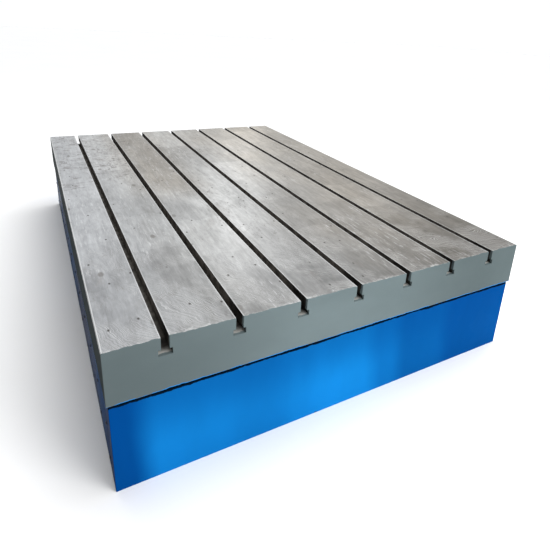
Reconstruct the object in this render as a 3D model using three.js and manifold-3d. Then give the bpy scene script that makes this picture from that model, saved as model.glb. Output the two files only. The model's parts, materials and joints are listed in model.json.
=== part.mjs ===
// Heavy rectangular rotary table: a T-slotted cast-iron platen that turns on a plain box base.
// Frame: millimetres, +Z up, origin on the floor under the turning axis.
// X runs across the T-slots and Y along them.
import * as THREE from "three";
import { mergeVertices } from "three/addons/utils/BufferGeometryUtils.js";
import Module from "manifold-3d";

const wasm = await Module();
wasm.setup();

// ---------------------------------------------------------------- driving dimensions

const SLOT = { count: 7, pitch: 200, throat: 22, throatDepth: 36, tee: 37, teeHeight: 18 };
const EDGE_MARGIN = 150; // first slot's centre to the platen's side
const PLATEN = {
  width: (SLOT.count - 1) * SLOT.pitch + 2 * EDGE_MARGIN,
  length: 2300,
  height: 160,
  slab: 95, // thickness above the cored pockets
  rim: 35,
  rib: 30,
  chamfer: 2,
};
const TOTAL_HEIGHT = 450;
const DRIVE_PLATE = 16; // thickness of the disc that carries the drive
const RUNNING_GAP = 8; // between platen and base, all the way round
const STEP_IN = 5; // the base stands this far inside the platen's outline
const BASE_WALL = 30;
const DECK = 36; // thickness of the base's top
const FLANGE = { height: 30, width: 115 }; // inward foot flange
const CLEARANCE = 0.3;

const LEVEL = {
  top: TOTAL_HEIGHT,
  platenUnderside: TOTAL_HEIGHT - PLATEN.height,
  slabUnderside: TOTAL_HEIGHT - PLATEN.slab,
  deck: TOTAL_HEIGHT - PLATEN.height - RUNNING_GAP,
  recessRoof: 330,
  bearingSeat: 226,
  drivePlate: 50,
};

const BASE = {
  halfWidth: PLATEN.width / 2 - STEP_IN,
  halfLength: PLATEN.length / 2 - STEP_IN,
  ringWall: 525, // outer radius of the wall that carries the bearing
  well: 385, // radius of the drive well inside it
  rib: 24,
  sideRib: 180, // the ribs to the side walls stand this far either side of the middle levelling screws
};

const FACETS = { ring: 40, drum: 20, bar: 12, stud: 10, hexagon: 6 }; // sides used for round shapes, by size

const GEAR = {
  module: 10,
  ringTeeth: 75,
  pinionTeeth: 15,
  pressureAngle: (20 * Math.PI) / 180,
  backlash: 1.6,
  tip: 0.85, // radial reach past the pitch circle, in modules
  ringRoot: 1.15,
  pinionRoot: 1.05,
  bore: 20, // the ring's blank is bored this far inside the pitch circle
  pinionBottom: 240,
  pinionTop: 292,
};
const PINION_DISTANCE = (GEAR.module * (GEAR.ringTeeth - GEAR.pinionTeeth)) / 2;
const PINION_SHAFT = { radius: 22, bottom: 190, top: 300 };

const BEARING = {
  innerRing: { outer: 440, bottom: 234, top: 304 },
  outerRing: { inner: 450, outer: 510, bottom: LEVEL.bearingSeat, top: 300 },
  race: { radius: 445, level: 268, groove: 8, halfHeight: 11 },
  cage: { rollers: 16, roller: 13, halfThickness: 2, halfHeight: 7 },
  head: { radius: 13, height: 12, circle: 484, count: 8 },
};

const CLAMP = {
  disc: { hubInner: 515, hubOuter: 545, outer: 615, bottom: 296, thickness: 12 },
  jawInner: 580,
  bodyInner: 625,
  bodyOuter: 665,
  top: 326,
  width: 130,
  shoe: { radius: 18, radialPlace: 600, travel: 1.5 },
  count: 4,
};

const LEVELLER = {
  inset: 90, // screw axis from the base's outer face
  rows: [-950, 0, 950],
  screw: 18,
  hole: 19.2,
  boss: 40,
  bossTop: 60,
  pad: { radius: 40, bottom: 1, top: 15, socket: 11, socketFloor: 7 },
  pocket: { radius: 44, top: 16 },
  tip: { radius: 10, bottom: 7.6, top: 18 },
  shankTop: 116,
  head: { radius: 31, top: 138 },
  nut: { radius: 32, height: 20 },
};

const WINDOW = { width: 150, bottom: 42, top: 172 }; // spanner access beside each levelling screw
const COVER = { thickness: 6, bottom: 32, top: 182, overlap: 60, gap: 0.5 };
const REAR = { halfWidth: 210, bottom: 60, top: 215, offset: -330 };
const PANEL = { halfWidth: 130, bottom: 60, top: 215, offset: 430, depth: 24, sheet: 4 };
const REAR_LAND = 18; // step that the rear cover and the panel rest on
const LIFTING = {
  radius: 20,
  depth: 26,
  along: 560,
  height: 226,
  plug: 18.5,
  plugLength: 16,
  hexagon: 9,
  hexagonDepth: 10,
};

// ---------------------------------------------------------------- materials

const finish = (color, roughness, metalness) => new THREE.MeshStandardMaterial({ color, roughness, metalness });
const machinedIron = finish(0xaaa7a2, 0.42, 0.85);
const bluePaint = finish(0x0a62b4, 0.28, 0.0);
const bearingSteel = finish(0xb9bcc0, 0.25, 1.0);
const gearSteel = finish(0x8f9296, 0.35, 1.0);
const blackSteel = finish(0x2b2c2e, 0.5, 0.8);
const zincSteel = finish(0xc2c5c8, 0.35, 1.0);
const rubber = finish(0x1b1b1c, 0.8, 0.0);
const copper = finish(0xb97a4c, 0.35, 1.0);
const motorBlack = finish(0x202124, 0.45, 0.2);
const castGrey = finish(0x6f7a7c, 0.55, 0.1);
const connectorBrass = finish(0xb89a4f, 0.35, 1.0);
const plugPlastic = finish(0x151617, 0.55, 0.0);

// ---------------------------------------------------------------- geometry helpers

// A closed three.js geometry as a solid that can be cut and joined.
function solidOf(geometry) {
  const bare = geometry.clone();
  bare.deleteAttribute("normal");
  bare.deleteAttribute("uv");
  const merged = mergeVertices(bare, 1e-4);
  return new wasm.Manifold(
    new wasm.Mesh({
      numProp: 3,
      vertProperties: merged.attributes.position.array,
      triVerts: new Uint32Array(merged.index.array),
    }),
  );
}

// A cut or joined solid as a flat-shaded geometry.
function geometryOf(solid) {
  const { vertProperties, triVerts } = solid.getMesh();
  const geometry = new THREE.BufferGeometry();
  geometry.setAttribute("position", new THREE.BufferAttribute(vertProperties, 3));
  geometry.setIndex(new THREE.BufferAttribute(triVerts, 1));
  const flat = geometry.toNonIndexed();
  flat.computeVertexNormals();
  return flat;
}

function block(xLow, xHigh, yLow, yHigh, zLow, zHigh) {
  const box = new THREE.BoxGeometry(xHigh - xLow, yHigh - yLow, zHigh - zLow);
  return solidOf(box.translate((xLow + xHigh) / 2, (yLow + yHigh) / 2, (zLow + zHigh) / 2));
}

// A block with its middle on the Z axis.
const centredBlock = (halfX, halfY, zLow, zHigh) => block(-halfX, halfX, -halfY, halfY, zLow, zHigh);

function cylinderGeometry(radius, zLow, zHigh, segments, x = 0, y = 0) {
  const upright = new THREE.CylinderGeometry(radius, radius, zHigh - zLow, segments).rotateX(Math.PI / 2);
  return upright.translate(x, y, (zLow + zHigh) / 2);
}

const cylinder = (...sizes) => solidOf(cylinderGeometry(...sizes));

// A cylinder whose axis runs along Y.
function rodAlongY(radius, yLow, yHigh, segments, x, z) {
  const rod = new THREE.CylinderGeometry(radius, radius, yHigh - yLow, segments);
  return solidOf(rod.translate(x, (yLow + yHigh) / 2, z));
}

// A solid of revolution about Z from [radius, height] points, counterclockwise.
function turned(profile, segments) {
  const points = [...profile, profile[0]].map(([radius, height]) => new THREE.Vector2(radius, height));
  return solidOf(new THREE.LatheGeometry(points, segments).rotateX(Math.PI / 2));
}

function ring(inner, outer, zLow, zHigh, segments) {
  const profile = [
    [inner, zLow],
    [outer, zLow],
    [outer, zHigh],
    [inner, zHigh],
  ];
  return turned(profile, segments);
}

// A flat outline of [x, y] points pulled up along Z.
function prism(outline, zLow, zHigh) {
  const shape = new THREE.Shape(outline.map(([x, y]) => new THREE.Vector2(x, y)));
  const body = new THREE.ExtrudeGeometry(shape, { depth: zHigh - zLow, bevelEnabled: false });
  return solidOf(body.translate(0, 0, zLow));
}

const joined = (solids) => solids.reduce((whole, piece) => whole.add(piece));
const cut = (solid, tools) => tools.reduce((left, tool) => left.subtract(tool), solid);
const turnedBy = (solid, degrees) => solid.rotate([0, 0, degrees]);
const steps = (count) => Array.from({ length: count }, (_, index) => index);
const slotCentres = steps(SLOT.count).map((index) => (index - (SLOT.count - 1) / 2) * SLOT.pitch);

function addMesh(parent, name, solid, material) {
  const mesh = new THREE.Mesh(geometryOf(solid), material);
  mesh.name = name;
  parent.add(mesh);
  return mesh;
}

// ---------------------------------------------------------------- platen

// The platen's section across the slots, with its T-slots and chamfered upper edges.
function platenSection() {
  const half = PLATEN.width / 2;
  const throatBottom = LEVEL.top - SLOT.throatDepth;
  const slotBottom = throatBottom - SLOT.teeHeight;
  const outline = [
    [-half, LEVEL.platenUnderside],
    [half, LEVEL.platenUnderside],
    [half, LEVEL.top - PLATEN.chamfer],
    [half - PLATEN.chamfer, LEVEL.top],
  ];
  for (const centre of [...slotCentres].reverse()) {
    outline.push(
      [centre + SLOT.throat / 2, LEVEL.top],
      [centre + SLOT.throat / 2, throatBottom],
      [centre + SLOT.tee / 2, throatBottom],
      [centre + SLOT.tee / 2, slotBottom],
      [centre - SLOT.tee / 2, slotBottom],
      [centre - SLOT.tee / 2, throatBottom],
      [centre - SLOT.throat / 2, throatBottom],
      [centre - SLOT.throat / 2, LEVEL.top],
    );
  }
  outline.push([-half + PLATEN.chamfer, LEVEL.top], [-half, LEVEL.top - PLATEN.chamfer]);
  return outline;
}

const SEAL_BAND = { inner: 684, outer: 708 }; // solid band of the underside that carries the dust seal
const HUB_BAND = { inner: 388, outer: 550 }; // solid band over the bearing and the clamp disc
const CENTRE_PAD = 212;
const POCKETS = { columns: 6, rows: 3 };

// Start and end of each pocket along one side of the platen, with a rib between neighbours.
function pocketSpans(halfInside, count) {
  const pitch = (2 * halfInside + PLATEN.rib) / count;
  return steps(count).map((index) => {
    const low = -halfInside + index * pitch;
    return [low, low + pitch - PLATEN.rib];
  });
}

// Cored pockets between the underside's ribs, kept clear of the solid bands.
function platenPockets() {
  const columns = pocketSpans(PLATEN.width / 2 - PLATEN.rim, POCKETS.columns);
  const rows = pocketSpans(PLATEN.length / 2 - PLATEN.rim, POCKETS.rows);
  const cells = columns.flatMap((x) =>
    rows.map((y) => block(...x, ...y, LEVEL.platenUnderside - 1, LEVEL.slabUnderside)),
  );
  const keepFrom = [LEVEL.platenUnderside - 2, LEVEL.slabUnderside + 1, FACETS.ring];
  const keep = [
    ring(SEAL_BAND.inner, SEAL_BAND.outer + 14, ...keepFrom),
    ring(HUB_BAND.inner, HUB_BAND.outer, ...keepFrom),
    cylinder(CENTRE_PAD, ...keepFrom),
  ];
  return cut(joined(cells), keep);
}

function platenSolid() {
  const section = new THREE.Shape(platenSection().map(([x, z]) => new THREE.Vector2(x, z)));
  const slab = new THREE.ExtrudeGeometry(section, { depth: PLATEN.length, bevelEnabled: false });
  const body = solidOf(slab.rotateX(Math.PI / 2).translate(0, PLATEN.length / 2, 0));
  const recess = cylinder(SEAL_BAND.outer, LEVEL.platenUnderside - 1, LEVEL.recessRoof, FACETS.ring);
  const { outer, top } = BEARING.innerRing;
  const bearingSeat = ring(HUB_BAND.inner, outer, top, LEVEL.recessRoof + 1, FACETS.ring);
  return cut(body, [recess, platenPockets()]).add(bearingSeat);
}

// ---------------------------------------------------------------- gears and bearing

// Outline of an involute external gear; each flank is worked out at a few radii.
function gearOutline(teeth, tipRadius, rootRadius, flankPoints, thinning) {
  const pitchRadius = (GEAR.module * teeth) / 2;
  const baseRadius = pitchRadius * Math.cos(GEAR.pressureAngle);
  const involute = (angle) => Math.tan(angle) - angle;
  const depth = tipRadius - rootRadius;
  const halfThickness = (Math.PI * GEAR.module) / 4 - thinning / 2;
  const halfAngle = (radius) => {
    const pressure = Math.acos(Math.min(1, baseRadius / radius));
    return halfThickness / pitchRadius + involute(GEAR.pressureAngle) - involute(pressure);
  };
  const outline = [];
  for (const tooth of steps(teeth)) {
    const middle = (tooth * 2 * Math.PI) / teeth;
    const radii = steps(flankPoints).map((i) => rootRadius + (depth * i) / (flankPoints - 1));
    for (const radius of radii) {
      const angle = middle - halfAngle(radius);
      outline.push([radius * Math.cos(angle), radius * Math.sin(angle)]);
    }
    for (const radius of radii.reverse()) {
      const angle = middle + halfAngle(radius);
      outline.push([radius * Math.cos(angle), radius * Math.sin(angle)]);
    }
  }
  return outline;
}

// Bearing inner ring with internal teeth; the platen is bolted to its top face.
function gearedInnerRing() {
  const { outer, bottom, top } = BEARING.innerRing;
  const { level, groove, halfHeight } = BEARING.race;
  const pitchRadius = (GEAR.module * GEAR.ringTeeth) / 2;
  const blankBore = pitchRadius - GEAR.bore;
  const blank = turned(
    [
      [blankBore, bottom],
      [outer, bottom],
      [outer, level - halfHeight],
      [outer - groove, level - halfHeight + groove],
      [outer - groove, level + halfHeight - groove],
      [outer, level + halfHeight],
      [outer, top],
      [blankBore, top],
    ],
    FACETS.ring,
  );
  // The teeth's spaces have the shape of an external gear's teeth, one of which points at the pinion.
  const outline = gearOutline(
    GEAR.ringTeeth,
    pitchRadius + GEAR.ringRoot * GEAR.module,
    pitchRadius - GEAR.tip * GEAR.module,
    2,
    0,
  );
  const spaces = prism(outline, bottom - 1, top + 1);
  const phase = 90 - (360 / GEAR.ringTeeth) * Math.round((90 * GEAR.ringTeeth) / 360);
  return blank.subtract(turnedBy(spaces, phase));
}

function bearingOuterRing() {
  const { inner, outer, bottom, top } = BEARING.outerRing;
  const { level, groove, halfHeight } = BEARING.race;
  const body = turned(
    [
      [inner, bottom],
      [outer, bottom],
      [outer, top],
      [inner, top],
      [inner, level + halfHeight],
      [inner + groove, level + halfHeight - groove],
      [inner + groove, level - halfHeight + groove],
      [inner, level - halfHeight],
    ],
    FACETS.ring,
  );
  const { radius, height, circle, count } = BEARING.head;
  const heads = steps(count).map((index) =>
    turnedBy(cylinder(radius, top - 1, top + height, FACETS.hexagon, circle, 0), ((index + 0.5) * 360) / count),
  );
  return joined([body, ...heads]);
}

// Crossed rollers and the thin band that spaces them, as one piece.
function rollerCage() {
  const { radius, level } = BEARING.race;
  const { rollers, roller, halfThickness, halfHeight } = BEARING.cage;
  const band = ring(
    radius - halfThickness,
    radius + halfThickness,
    level - halfHeight,
    level + halfHeight,
    FACETS.ring,
  );
  const bar = new THREE.CylinderGeometry(roller / 2, roller / 2, roller - 2, FACETS.hexagon);
  const pieces = steps(rollers).map((index) => {
    const lean = index % 2 ? Math.PI / 4 : -Math.PI / 4;
    const tilted = solidOf(bar.clone().rotateX(Math.PI / 2).rotateY(lean).translate(radius, 0, level));
    return turnedBy(tilted, (index * 360) / rollers);
  });
  return joined([band, ...pieces]);
}

function drivePinion() {
  const pitchRadius = (GEAR.module * GEAR.pinionTeeth) / 2;
  const outline = gearOutline(
    GEAR.pinionTeeth,
    pitchRadius + GEAR.tip * GEAR.module,
    pitchRadius - GEAR.pinionRoot * GEAR.module,
    3,
    GEAR.backlash,
  );
  const teeth = prism(outline, GEAR.pinionBottom, GEAR.pinionTop);
  const phase = 90 - (360 / GEAR.pinionTeeth) * Math.round((90 * GEAR.pinionTeeth) / 360);
  const shaft = cylinder(PINION_SHAFT.radius, PINION_SHAFT.bottom, PINION_SHAFT.top, FACETS.bar);
  return joined([turnedBy(teeth, phase), shaft]);
}

// ---------------------------------------------------------------- other turning pieces

function clampDisc() {
  const { hubInner, hubOuter, outer, bottom, thickness } = CLAMP.disc;
  return turned(
    [
      [hubInner, bottom],
      [outer, bottom],
      [outer, bottom + thickness],
      [hubOuter, bottom + thickness],
      [hubOuter, LEVEL.recessRoof],
      [hubInner, LEVEL.recessRoof],
    ],
    FACETS.ring,
  );
}

const ENCODER_RING = { inner: 184, outer: 202, bottom: 306 };
const SEAL_RING = { inner: 688, outer: 698, lift: 3 }; // its lip runs this far above the deck
const GUARD_RING = { inner: 672, outer: 680, top: 316 };

function encoderRing() {
  const { inner, outer, bottom } = ENCODER_RING;
  return ring(inner, outer, bottom, LEVEL.recessRoof, FACETS.drum);
}

function dustSeal() {
  const { inner, outer, lift } = SEAL_RING;
  return ring(inner, outer, LEVEL.deck + lift, LEVEL.recessRoof, FACETS.ring);
}

// Upright ring on the deck, inside the seal.
function chipGuardRing() {
  const { inner, outer, top } = GUARD_RING;
  return ring(inner, outer, LEVEL.deck, top, FACETS.ring);
}

// ---------------------------------------------------------------- base casting

const LEDGE = { inner: 300, bottom: 20 }; // inside the well, under the drive plate
const CABLE_WAY = { from: 40, to: 240, bottom: 80, top: 200 }; // opening in the round wall, at the rear

function levellerPlaces() {
  const places = [];
  for (const side of [-1, 1]) {
    LEVELLER.rows.forEach((y, row) => {
      const name = `${side < 0 ? "left" : "right"}_${row + 1}`;
      places.push({ x: side * (BASE.halfWidth - LEVELLER.inset), y, name });
    });
  }
  return places;
}

function coverHalfLength() {
  return Math.max(...LEVELLER.rows) + WINDOW.width / 2 + COVER.overlap;
}

function baseCasting() {
  const { halfWidth, halfLength, ringWall, well, rib, sideRib } = BASE;
  const innerX = halfWidth - BASE_WALL;
  const innerY = halfLength - BASE_WALL;
  const deckUnderside = LEVEL.deck - DECK;
  const shell = cut(centredBlock(halfWidth, halfLength, 0, LEVEL.deck), [
    centredBlock(innerX, innerY, FLANGE.height, deckUnderside),
    centredBlock(innerX - FLANGE.width, innerY - FLANGE.width, -1, FLANGE.height + 1),
  ]);
  const ribs = [
    centredBlock(rib / 2, innerY + 1, 0, deckUnderside + 1),
    ...[-1, 1].map((side) => {
      const middle = side * sideRib;
      return block(-innerX - 1, innerX + 1, middle - rib / 2, middle + rib / 2, 0, deckUnderside + 1);
    }),
  ];
  const core = cylinder(ringWall, 0, deckUnderside + 1, FACETS.ring);
  const { boss, bossTop, hole, pocket } = LEVELLER;
  const bosses = levellerPlaces().map(({ x, y }) => cylinder(boss, 1, bossTop, FACETS.bar, x, y));
  const screwHoles = levellerPlaces().flatMap(({ x, y }) => [
    cylinder(hole, -1, bossTop + 1, FACETS.bar, x, y),
    cylinder(pocket.radius, -1, pocket.top, FACETS.bar, x, y),
  ]);
  const hollow = cut(joined([shell, core, ...ribs, ...bosses]), [
    cylinder(well, -1, LEVEL.deck + 1, FACETS.ring),
    cylinder(BEARING.outerRing.outer + 2, LEVEL.bearingSeat, LEVEL.deck + 1, FACETS.ring),
    ...screwHoles,
    ...wallOpenings(),
  ]);
  return hollow.add(ring(LEDGE.inner, well + 2, LEDGE.bottom, LEVEL.drivePlate, FACETS.ring));
}

// A block at an opening of the rear wall, smaller than the opening by the margin all round.
function rearBlock({ halfWidth, bottom, top, offset }, margin, yLow, yHigh) {
  const half = halfWidth - margin;
  return block(offset - half, offset + half, yLow, yHigh, bottom + margin, top - margin);
}

// Windows and cover rebates in the side walls, openings in the rear wall, and blind lifting sockets.
function wallOpenings() {
  const { halfWidth, halfLength } = BASE;
  const { from, to, bottom: wayBottom, top: wayTop } = CABLE_WAY;
  const tools = [block(from, to, BASE.well / 2, BASE.ringWall + 20, wayBottom, wayTop)];
  for (const side of [-1, 1]) {
    const span = (depthFrom, depthTo, ...rest) => {
      const ends = [side * (halfWidth - depthTo), side * (halfWidth - depthFrom)].sort((a, b) => a - b);
      return block(...ends, ...rest);
    };
    tools.push(span(-1, COVER.thickness, -coverHalfLength(), coverHalfLength(), COVER.bottom, COVER.top));
    for (const y of LEVELLER.rows) {
      const reach = [-1, BASE_WALL + 1, y - WINDOW.width / 2, y + WINDOW.width / 2, WINDOW.bottom, WINDOW.top];
      tools.push(span(...reach));
    }
    for (const y of [-LIFTING.along, LIFTING.along]) {
      const { radius, depth, height } = LIFTING;
      const socket = new THREE.CylinderGeometry(radius, radius, depth, FACETS.stud).rotateZ(Math.PI / 2);
      tools.push(solidOf(socket.translate(side * (halfWidth - depth / 2 + 1), y, height)));
    }
  }
  for (const opening of [REAR, PANEL]) {
    tools.push(rearBlock(opening, 0, halfLength - COVER.thickness, halfLength + 1));
    tools.push(rearBlock(opening, REAR_LAND, halfLength - BASE_WALL - 10, halfLength + 1));
  }
  return tools;
}

// ---------------------------------------------------------------- covers and rear panel

function sideCover() {
  const gap = COVER.gap;
  const half = coverHalfLength() - gap;
  return block(-COVER.thickness / 2, COVER.thickness / 2, -half, half, COVER.bottom + gap, COVER.top - gap);
}

const rearCover = () => rearBlock(REAR, COVER.gap, BASE.halfLength - COVER.thickness, BASE.halfLength);

const PORTS = [
  { name: "power_connector", x: -78, radius: 24, bore: 17 },
  { name: "encoder_connector", x: -18, radius: 16, bore: 11 },
  { name: "clamp_pressure_port", x: 36, radius: 15, bore: 7 },
  { name: "clamp_return_port", x: 84, radius: 15, bore: 7 },
];
const PORT_HEIGHT = 138;
const PORT = { flange: 5, inside: 14, outside: 16 }; // measured from the panel's floor

// A dished panel: its rim closes the opening and its floor holds the connectors behind the wall's face.
function servicePanel() {
  const face = BASE.halfLength;
  const floor = face - PANEL.depth;
  const rim = rearBlock(PANEL, COVER.gap, face - COVER.thickness, face);
  const tray = rearBlock(PANEL, REAR_LAND + 1, floor - PANEL.sheet, face - 1);
  const dish = rearBlock(PANEL, REAR_LAND + 1 + PANEL.sheet, floor, face + 1);
  const holes = PORTS.map(({ x, radius }) =>
    rodAlongY(radius - 3, floor - 10, face, FACETS.stud, PANEL.offset + x, PORT_HEIGHT),
  );
  return cut(rim.add(tray), [dish, ...holes]);
}

// A flanged socket in the panel: its flange lies on the panel's floor and its barrel goes through it.
function port({ x, radius, bore }) {
  const floor = BASE.halfLength - PANEL.depth;
  const place = [FACETS.stud, PANEL.offset + x, PORT_HEIGHT];
  const flange = rodAlongY(radius, floor, floor + PORT.flange, ...place);
  const barrel = rodAlongY(radius - 4, floor - PORT.inside, floor + PORT.outside, ...place);
  return flange.add(barrel).subtract(rodAlongY(bore, floor + 2, floor + PORT.outside + 1, ...place));
}

// ---------------------------------------------------------------- drive

const MOTOR = {
  axisHeight: 142,
  flange: { face: 196, half: 76, below: 72, above: 60, thickness: 18 },
  body: 66,
  length: 300,
  cap: 70,
  fins: { count: 4, pitch: 50, width: 10, height: 5 },
  socket: { halfWidth: 24, length: 44, above: 72 },
};
const GEARBOX = {
  drum: 76,
  drumTop: 186,
  collar: 52,
  collarTop: 222,
  inputTop: 204,
  shaftBore: 24,
  foot: { halfWidth: 95, front: 60, back: 50, height: 18 },
};
const ENCODER_BRACKET = { near: 206, column: 232, back: 262, foot: 300, headBottom: 308, top: 322 };
const DRAIN = { radius: 28, place: 240, angles: [150, 210, 270] };

function gearboxHousing() {
  const { drum, drumTop, collar, collarTop, inputTop, shaftBore, foot } = GEARBOX;
  const { face, half } = MOTOR.flange;
  const bottom = LEVEL.drivePlate + DRIVE_PLATE;
  const middle = PINION_DISTANCE;
  const footEnds = [middle - foot.front, middle + foot.back];
  const body = joined([
    cylinder(drum, bottom, drumTop, FACETS.drum, 0, middle),
    cylinder(collar, drumTop - 1, collarTop, FACETS.drum, 0, middle),
    block(-foot.halfWidth, foot.halfWidth, ...footEnds, bottom, bottom + foot.height),
    block(-half, half, face, middle, bottom, inputTop),
  ]);
  return body.subtract(cylinder(shaftBore, drumTop, collarTop + 1, FACETS.bar, 0, middle));
}

function servoMotor() {
  const { axisHeight, flange, body, length, cap, fins, socket } = MOTOR;
  const front = flange.face - CLEARANCE;
  const back = front - length;
  const plateBack = front - flange.thickness;
  const level = [axisHeight - flange.below, axisHeight + flange.above];
  const round = [FACETS.bar, 0, axisHeight];
  const socketBack = back - 50;
  return joined([
    block(-flange.half, flange.half, plateBack, front, ...level),
    rodAlongY(body, back, plateBack + 1, ...round),
    rodAlongY(body - 14, back - cap, back + 1, ...round),
    block(
      -socket.halfWidth,
      socket.halfWidth,
      socketBack,
      socketBack + socket.length,
      axisHeight + 40,
      axisHeight + socket.above,
    ),
    ...steps(fins.count).map((index) => {
      const y = front - 70 - index * fins.pitch;
      return rodAlongY(body + fins.height, y - fins.width, y, ...round);
    }),
  ]);
}

// Disc that closes the well's foot and carries the gearbox; the open slots drain the well.
function drivePlate() {
  const top = LEVEL.drivePlate + DRIVE_PLATE;
  const disc = cylinder(BASE.well - 2, LEVEL.drivePlate, top, FACETS.ring);
  const drain = cylinder(DRAIN.radius, LEVEL.drivePlate - 1, top + 1, FACETS.stud, DRAIN.place, 0);
  return cut(disc, DRAIN.angles.map((degrees) => turnedBy(drain, degrees)));
}

// Upright from the drive plate that holds the reading head under the encoder ring.
function encoderBracket() {
  const { near, column, back, foot, headBottom, top } = ENCODER_BRACKET;
  const bottom = LEVEL.drivePlate + DRIVE_PLATE;
  return joined([
    block(column, back, -22, 22, bottom, top),
    block(column - 10, foot, -36, 36, bottom, bottom + 12),
    block(near, column + 8, -16, 16, headBottom, top),
  ]);
}

// ---------------------------------------------------------------- clamps

// C-shaped caliper standing on the deck; its jaws reach over and under the clamp disc.
function clampCaliper() {
  const { disc, jawInner, bodyInner, bodyOuter, top, width, shoe } = CLAMP;
  const halfWidth = width / 2;
  const body = block(jawInner, bodyOuter, -halfWidth, halfWidth, LEVEL.deck, top);
  const mouthLow = disc.bottom - 2;
  const mouthHigh = disc.bottom + disc.thickness + 2;
  const mouth = block(jawInner - 1, bodyInner, -halfWidth - 1, halfWidth + 1, mouthLow, mouthHigh);
  const bore = cylinder(shoe.radius + 1, LEVEL.deck + 2, disc.bottom, FACETS.bar, shoe.radialPlace, 0);
  return cut(body, [mouth, bore]);
}

function clampShoe() {
  const { radius, radialPlace, travel } = CLAMP.shoe;
  return cylinder(radius, LEVEL.deck + 2.3, CLAMP.disc.bottom - travel - 0.1, FACETS.bar, radialPlace, 0);
}

const OIL_LINE = { radius: 571, tube: 5, sides: 6 };

// Closed ring of pipe that feeds the four clamps, lying on the deck inside them.
function clampOilLine() {
  const { radius, tube, sides } = OIL_LINE;
  const profile = steps(sides).map((index) => {
    const angle = (index * 2 * Math.PI) / sides;
    return [radius + tube * Math.cos(angle), LEVEL.deck + tube + tube * Math.sin(angle)];
  });
  return turned(profile, FACETS.ring);
}

// ---------------------------------------------------------------- levelling set

function levellingPad() {
  const { radius, bottom, top, socket, socketFloor } = LEVELLER.pad;
  const disc = cylinder(radius, bottom, top, FACETS.bar);
  return disc.subtract(cylinder(socket, socketFloor, top + 1, FACETS.stud));
}

function levellingScrew() {
  const { screw, tip, shankTop, head } = LEVELLER;
  return joined([
    cylinder(tip.radius, tip.bottom, tip.top, FACETS.stud),
    cylinder(screw, tip.top - 1, shankTop, FACETS.bar),
    cylinder(head.radius, shankTop - 1, head.top, FACETS.hexagon),
  ]);
}

function lockNut() {
  const { bossTop, hole, nut } = LEVELLER;
  const top = bossTop + nut.height;
  const body = cylinder(nut.radius, bossTop, top, FACETS.hexagon);
  return body.subtract(cylinder(hole, bossTop - 1, top + 1, FACETS.bar));
}

// Screwed plug with a hexagon socket, flush with the wall; its axis is local Z, pointing out.
function liftingPlug() {
  const body = cylinder(LIFTING.plug, -LIFTING.plugLength, -CLEARANCE, FACETS.stud);
  return body.subtract(cylinder(LIFTING.hexagon, -LIFTING.hexagonDepth, 1, FACETS.hexagon));
}

// ---------------------------------------------------------------- assembly

const rotaryTable = new THREE.Group();
const turning = new THREE.Group(); // turns about Z
const standing = new THREE.Group();
rotaryTable.add(turning, standing);

addMesh(turning, "platen", platenSolid(), machinedIron);
addMesh(turning, "geared_inner_ring", gearedInnerRing(), gearSteel);
addMesh(turning, "clamp_disc", clampDisc(), bearingSteel);
addMesh(turning, "encoder_ring", encoderRing(), bearingSteel);
addMesh(turning, "dust_seal", dustSeal(), rubber);

addMesh(standing, "base_casting", baseCasting(), bluePaint);
addMesh(standing, "bearing_outer_ring", bearingOuterRing(), bearingSteel);
addMesh(standing, "roller_cage", rollerCage(), bearingSteel);
addMesh(standing, "chip_guard_ring", chipGuardRing(), zincSteel);
addMesh(standing, "drive_plate", drivePlate(), blackSteel);
addMesh(standing, "gearbox_housing", gearboxHousing(), castGrey);
addMesh(standing, "servo_motor", servoMotor(), motorBlack);
addMesh(standing, "encoder_bracket", encoderBracket(), blackSteel);
addMesh(standing, "rear_cover", rearCover(), bluePaint);
addMesh(standing, "service_panel", servicePanel(), blackSteel);
for (const spec of PORTS) {
  const hydraulic = spec.name.startsWith("clamp");
  addMesh(standing, spec.name, port(spec), hydraulic ? connectorBrass : zincSteel);
}

const pinion = addMesh(standing, "drive_pinion", drivePinion(), gearSteel);
pinion.position.y = PINION_DISTANCE;

addMesh(standing, "clamp_oil_line", clampOilLine(), copper);

for (const index of steps(CLAMP.count)) {
  const station = new THREE.Group();
  station.rotation.z = ((index + 0.5) * 2 * Math.PI) / CLAMP.count;
  standing.add(station);
  addMesh(station, `clamp_caliper_${index + 1}`, clampCaliper(), castGrey);
  addMesh(station, `clamp_shoe_${index + 1}`, clampShoe(), bearingSteel);
}

for (const { x, y, name } of levellerPlaces()) {
  const set = new THREE.Group();
  set.position.set(x, y, 0);
  standing.add(set);
  addMesh(set, `levelling_pad_${name}`, levellingPad(), zincSteel);
  addMesh(set, `levelling_screw_${name}`, levellingScrew(), blackSteel);
  addMesh(set, `lock_nut_${name}`, lockNut(), zincSteel);
}

for (const [side, name] of [
  [-1, "left"],
  [1, "right"],
]) {
  const cover = addMesh(standing, `levelling_cover_${name}`, sideCover(), bluePaint);
  cover.position.x = side * (BASE.halfWidth - COVER.thickness / 2);
  for (const [end, place] of [
    [-1, "front"],
    [1, "rear"],
  ]) {
    const plug = addMesh(standing, `lifting_plug_${name}_${place}`, liftingPlug(), plugPlastic);
    plug.rotation.y = (side * Math.PI) / 2;
    plug.position.set(side * BASE.halfWidth, end * LIFTING.along, LIFTING.height);
  }
}

export default rotaryTable;
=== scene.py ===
"""Looks of the rotary table: its materials, the small fittings, the light and the camera.

Everything is in metres in the model's own frame: the origin is on the floor under the turning
axis, X runs across the T-slots, Y along them towards the rear, and Z is up.
"""

import json
import math

import bmesh
import bpy
from mathutils import Matrix, Vector


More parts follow.
